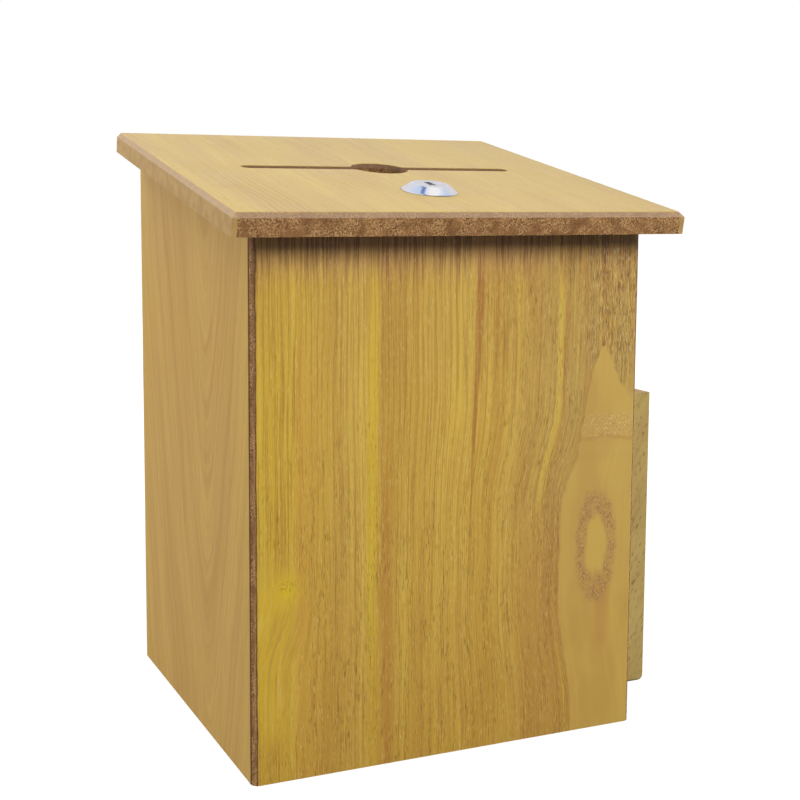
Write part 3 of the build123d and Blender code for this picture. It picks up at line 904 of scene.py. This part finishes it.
def cross_top(shape, head, recess):
    """A screw head's top: a disc at z = 0 with a tapered cross recess. Gives the loop of its rim."""
    arm, half = head * 0.62, head * 0.15
    corners = []
    for turn in range(4):
        quarter = Matrix.Rotation(turn * pi / 2, 2)
        corners += [quarter @ Vector(corner) for corner in ((arm, -half), (arm, half), (half, half))]
    cross = [shape.verts.new((x * MM, y * MM, 0.0)) for x, y in corners]
    cross_edges = [shape.edges.new(pair) for pair in zip(cross, cross[1:] + cross[:1])]
    rim = bmesh.ops.create_circle(shape, segments=48, radius=head * MM)["verts"]
    rim_edges = [edge for edge in shape.edges if edge.verts[0] in rim and edge.verts[1] in rim]
    bmesh.ops.bridge_loops(shape, edges=cross_edges + rim_edges)
    foot_edges, foot = extrude_loop(shape, cross_edges)
    for vert in foot:
        vert.co = (vert.co.x * 0.45, vert.co.y * 0.45, -recess * MM)
    bmesh.ops.contextual_create(shape, geom=foot_edges)
    return rim_edges


def screw(head, head_height, shank, length, pitch, flat_head):
    """A cross-head screw that points down, its seat plane at z = 0. All in millimetres."""
    shape = bmesh.new()
    core, point = shank * 0.76, 1.6     # the radius under the thread, and the length of the tip
    if flat_head:
        rise, rim, top = 0.0, head, -head_height - 0.4
        rings = [(head, -0.12), (shank, -head_height), (core, -head_height - 0.3)]
    else:
        rise, rim, top = head_height, head * 0.72, -0.4
        shoulder = head_height * 0.55
        rings = [(head * 0.93, (rise + shoulder) / 2 + 0.05), (head, shoulder), (head, 0.05),
                 (head * 0.97, 0.0), (core, 0.0)]
    rings += [(core, point - length), (0.08, -length)]
    loop = cross_top(shape, rim, head_height * 0.5)
    bmesh.ops.translate(shape, verts=shape.verts, vec=(0, 0, rise * MM))
    for radius, height in rings:
        loop, verts = extrude_loop(shape, loop)
        for vert in verts:
            away = Vector((vert.co.x, vert.co.y)).normalized() * radius * MM
            vert.co = (away.x, away.y, height * MM)
    bmesh.ops.contextual_create(shape, geom=loop)
    bmesh.ops.recalc_face_normals(shape, faces=shape.faces)
    add_thread(shape, shank, shank * 0.24, pitch, top, length + top - point * 0.6, 24)
    return shape


class DROPBOX_OT_screws(bpy.types.Operator):
    """Make the screws of the pocket, hinges, strike and cam, each with its thread and recess"""
    bl_idname = "drop_box.screws"
    bl_label = "Screws"

    def execute(self, context):
        down = Matrix.Rotation(lid_tilt, 4, "X")
        up = down @ Matrix.Rotation(pi, 4, "X")
        across = Matrix.Rotation(-pi / 2, 4, "Y")
        level = Matrix.Rotation(-pi / 2, 4, "X")
        zinc = metal("zinc_screw", tone(192, 194, 198), 0.27, None)
        brass = metal("brass_screw", tone(216, 182, 108), 0.26, None)
        # Radius and height of the head, radius and length of the shank, and pitch, in millimetres
        groups = (
            ("pocket_screws", "cabinet", "zinc_screw", zinc, across, (3.2, 2.4, 1.6, 19.0, 1.2), True),
            ("hinge_wall_screws", "cabinet", "brass_screw", brass, down, (1.8, 1.0, 0.9, 6.5, 0.7), True),
            ("hinge_lid_screws", "lid", "brass_screw", brass, up, (1.8, 1.0, 0.9, 6.5, 0.7), True),
            ("strike_screws", "cabinet", "zinc_screw", zinc, level, (2.4, 1.5, 1.2, 8.0, 0.9), False),
            ("cam_screw", "lock_core", "zinc_screw", zinc, up, (3.3, 2.0, 1.9, 7.5, 0.7), False),
        )
        for name, body, slot, material, turn, sizes, flat_head in groups:
            rise = 0.0 if flat_head else sizes[1] * MM
            shape = bmesh.new()
            for top in solid_tops(name, turn):
                next_screw = screw(*sizes, flat_head)
                next_screw.transform(turn @ Matrix.Translation((top.x, top.y, top.z - rise)))
                join(shape, next_screw)
            finish_piece(name + "_turned", shape, body, [name], material, 30.0)
        return {"FINISHED"}


# Stage

BLACK, WHITE = (0, 0, 0, 1), (1, 1, 1, 1)
CAMERA_PLACE = (-0.24329, -0.56623, 0.22614)
CAMERA_YAW, CAMERA_PITCH, CAMERA_ROLL = radians(24.357), radians(6.17), radians(0.364)
# The strength of the light from all round, and of what shiny faces reflect
AMBIENT, SHINE = 0.12, 1.0
# Name, place, aim, width in metres, and watts; the last two only light the sides away from the camera
LAMPS = (
    ("key", (0.30, -1.20, 0.88), (0, -0.08, 0.14), 0.72, 22.5),
    ("left", (-1.55, 0.42, 0.50), (0, 0, 0.12), 1.2, 24.5),
    ("top", (-0.50, 0.85, 1.20), (0, 0, 0.22), 0.7, 10.6),
    ("right", (1.7, 0.35, 0.25), (0.1, 0, 0.1), 1.4, 26),
    ("back", (0.5, 1.8, 0.3), (0, 0.1, 0.12), 1.4, 9),
)
# The paper cards that the chrome reflects, from the camera's left to its right
CARDS = (
    (0.0, (0.86, 0.86, 0.92, 1)), (0.22, (0.84, 0.86, 0.94, 1)), (0.3, (0.66, 0.76, 0.94, 1)),
    (0.4, (0.62, 0.73, 0.93, 1)), (0.42, (0.14, 0.22, 0.5, 1)), (0.46, (0.16, 0.24, 0.52, 1)),
    (0.48, (0.8, 0.86, 0.96, 1)), (0.56, (1, 1, 1, 1)), (0.7, (1, 1, 1, 1)),
    (0.78, (0.6, 0.72, 0.96, 1)), (1.0, (0.5, 0.63, 0.92, 1)),
)


class DROPBOX_OT_stage(bpy.types.Operator):
    """Set up the floor, the light and the camera"""
    bl_idname = "drop_box.stage"
    bl_label = "Stage"

    def execute(self, context):
        scene = context.scene
        scene.view_settings.view_transform = "Standard"
        self.add_world(scene)
        self.add_lamps(scene)
        self.add_floor(scene)
        self.add_camera(scene)
        return {"FINISHED"}

    def add_world(self, scene):
        """Soft light from all round; the camera sees white instead, and shiny faces see paper cards."""
        world = bpy.data.worlds.new("studio")
        scene.world = world
        world.use_nodes = True
        nodes = Nodes(world.node_tree)
        place = nodes.node("ShaderNodeTexCoord")["Generated"]
        to_view = {"Vector": place, "Rotation": (0, 0, CAMERA_YAW)}
        turned = nodes.node("ShaderNodeMapping", {"vector_type": "POINT"}, to_view)["Vector"]
        toward = nodes.node("ShaderNodeSeparateXYZ", None, [turned])
        across, ahead, up = toward["X"], toward["Y"], toward["Z"]
        folds = nodes.node("ShaderNodeTexNoise", None, {"Vector": place, "Scale": 5.0, "Detail": 2.0})["Fac"]
        share = (across + folds * 0.16 - 0.08).slope(-1.0, 1.0)
        cards = nodes.node("ShaderNodeValToRGB", {"stops": CARDS}, [share])["Color"]
        cards = nodes.mix(ahead.slope(0.25, 0.6), cards, (0.8, 0.79, 0.83, 1))
        cards = nodes.mix(up.slope(-0.1, 0.3, 0.5), BLACK, cards)

        def light(colour, strength):
            inputs = {"Color": colour, "Strength": strength}
            return nodes.node("ShaderNodeBackground", None, inputs)["Background"]

        rays = nodes.node("ShaderNodeLightPath")
        lit = nodes.choose(rays["Is Glossy Ray"], light((1, 0.99, 0.97, 1), AMBIENT), light(cards, SHINE))
        seen = nodes.choose(rays["Is Camera Ray"], lit, light(WHITE, 1.0))
        nodes.node("ShaderNodeOutputWorld", None, {"Surface": seen})

    def add_lamps(self, scene):
        """Round lamps that shiny faces don't show."""
        for name, place, target, size, power in LAMPS:
            lamp = bpy.data.lights.new(name, "AREA")
            lamp.shape = "DISK"
            lamp.size = size
            lamp.energy = power
            holder = bpy.data.objects.new(name, lamp)
            scene.collection.objects.link(holder)
            holder.visible_glossy = False
            holder.location = place
            holder.rotation_euler = (Vector(target) - Vector(place)).to_track_quat("-Z", "Y").to_euler()

    def add_floor(self, scene):
        """A pale floor that washes out to white, with a faint shadow under the box."""
        floor = bmesh.new()
        bmesh.ops.create_grid(floor, x_segments=2, y_segments=2, size=6)
        mesh = bpy.data.meshes.new("floor")
        floor.to_mesh(mesh)
        floor.free()
        ground = bpy.data.objects.new("floor", mesh)
        scene.collection.objects.link(ground)
        graph = Graph("floor_paper")
        paper = graph.mix(graph.speckle(3.0), (0.14, 0.14, 0.14, 1), (0.16, 0.16, 0.16, 1))
        dull = graph.node("ShaderNodeBsdfDiffuse", None, {"Color": paper})["BSDF"]
        away = ((graph.x * graph.x + graph.y * graph.y) ** 0.5).step(150.0, 700.0)
        glow = graph.node("ShaderNodeEmission", None, {"Color": WHITE, "Strength": away * 0.12 + 0.9})[0]
        bright = graph.node("ShaderNodeAddShader", None, [dull, glow])["Shader"]
        seen = graph.choose(graph.node("ShaderNodeLightPath")["Is Camera Ray"], dull, bright)
        graph.node("ShaderNodeOutputMaterial", None, {"Surface": seen})
        mesh.materials.append(graph.material)

    def add_camera(self, scene):
        """The camera, a little left of the box and above its middle."""
        camera = bpy.data.cameras.new("camera")
        camera.lens = 62.16
        camera.sensor_width = 36.0
        camera.shift_y = -0.074
        camera.clip_start = 0.01
        camera.clip_end = 50.0
        holder = bpy.data.objects.new("camera", camera)
        scene.collection.objects.link(holder)
        holder.matrix_world = (Matrix.Translation(CAMERA_PLACE) @ Matrix.Rotation(-CAMERA_YAW, 4, "Z")
                               @ Matrix.Rotation(pi / 2 - CAMERA_PITCH, 4, "X")
                               @ Matrix.Rotation(CAMERA_ROLL, 4, "Z"))
        scene.camera = holder


class DROPBOX_PT_panel(bpy.types.Panel):
    """The drop box's steps and settings"""
    bl_idname = "DROPBOX_PT_panel"
    bl_label = "Drop Box"
    bl_space_type = "VIEW_3D"
    bl_region_type = "UI"
    bl_category = "Drop Box"

    def draw(self, context):
        for operator in OPERATORS:
            self.layout.operator(operator.bl_idname)
        for settings in settings_of(context):
            column = self.layout.column()
            for key in settings.__annotations__:
                column.prop(settings, key)


GROUPS = {"drop_box_veneer": VeneerSettings, "drop_box_boards": BoardSettings,
          "drop_box_metal": MetalSettings}
OPERATORS = (DROPBOX_OT_walls, DROPBOX_OT_pocket, DROPBOX_OT_lid, DROPBOX_OT_hinges, DROPBOX_OT_lock_case,
             DROPBOX_OT_lock_core, DROPBOX_OT_strike, DROPBOX_OT_screws, DROPBOX_OT_stage)


def register():
    for name, group in GROUPS.items():
        bpy.utils.register_class(group)
        setattr(bpy.types.Scene, name, PointerProperty(type=group))
    for kind in (*OPERATORS, DROPBOX_PT_panel):
        bpy.utils.register_class(kind)


def unregister():
    for kind in (DROPBOX_PT_panel, *reversed(OPERATORS)):
        bpy.utils.unregister_class(kind)
    for name, group in GROUPS.items():
        delattr(bpy.types.Scene, name)
        bpy.utils.unregister_class(group)


def main():
    register()
    bpy.ops.drop_box.walls()
    bpy.ops.drop_box.pocket()
    bpy.ops.drop_box.lid()
    bpy.ops.drop_box.hinges()
    bpy.ops.drop_box.lock_case()
    bpy.ops.drop_box.lock_core()
    bpy.ops.drop_box.strike()
    bpy.ops.drop_box.screws()
    bpy.ops.drop_box.stage()


if __name__ == "__main__":
    main()
